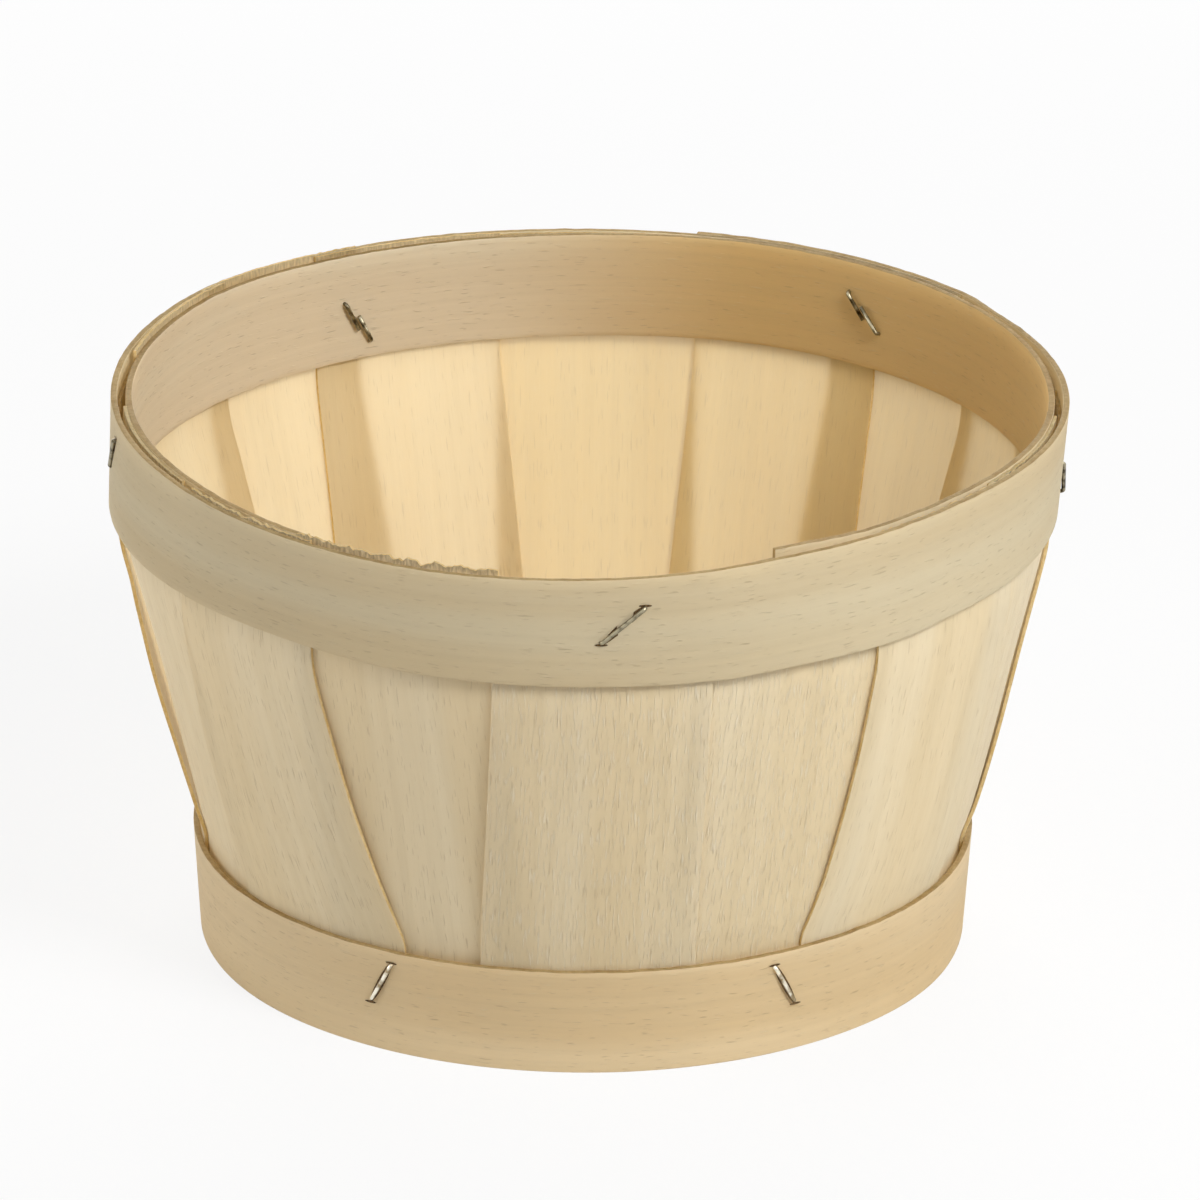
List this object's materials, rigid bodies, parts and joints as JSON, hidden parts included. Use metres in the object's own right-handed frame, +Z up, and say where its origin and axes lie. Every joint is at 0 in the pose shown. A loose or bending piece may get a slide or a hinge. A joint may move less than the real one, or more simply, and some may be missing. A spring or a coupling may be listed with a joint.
{
  "type": "chipwood basket",
  "caption": "Round open fruit basket of crossed veneer strips, held by a double veneer hoop at the rim and one at the foot, with wire staples.",
  "frame": {"origin": "on the floor plane, on the basket's vertical axis", "axes": "+Z up out of the open mouth, -Y towards the picture's front"},
  "size_m": [0.2261, 0.2261, 0.133],
  "materials": {
    "strip_veneer": "raw peeled veneer, grain along the strip",
    "hoop_veneer": "raw thick veneer, grain along the band",
    "staple_wire": "drawn galvanised wire"
  },
  "bodies": {
    "root": {"lower_strip_1": "strip_veneer", "lower_strip_2": "strip_veneer", "lower_strip_3": "strip_veneer", "lower_strip_4": "strip_veneer", "upper_strip_1": "strip_veneer", "upper_strip_2": "strip_veneer", "upper_strip_3": "strip_veneer", "upper_strip_4": "strip_veneer", "outer_rim_hoop": "hoop_veneer", "inner_rim_hoop": "hoop_veneer", "base_hoop": "hoop_veneer", "rim_staple_1": "staple_wire", "rim_staple_2": "staple_wire", "rim_staple_3": "staple_wire", "rim_staple_4": "staple_wire", "rim_staple_5": "staple_wire", "base_staple_1": "staple_wire", "base_staple_2": "staple_wire", "base_staple_3": "staple_wire", "base_staple_4": "staple_wire", "base_staple_5": "staple_wire", "base_staple_6": "staple_wire", "star_staple": "staple_wire"}
  },
  "joints": []
}
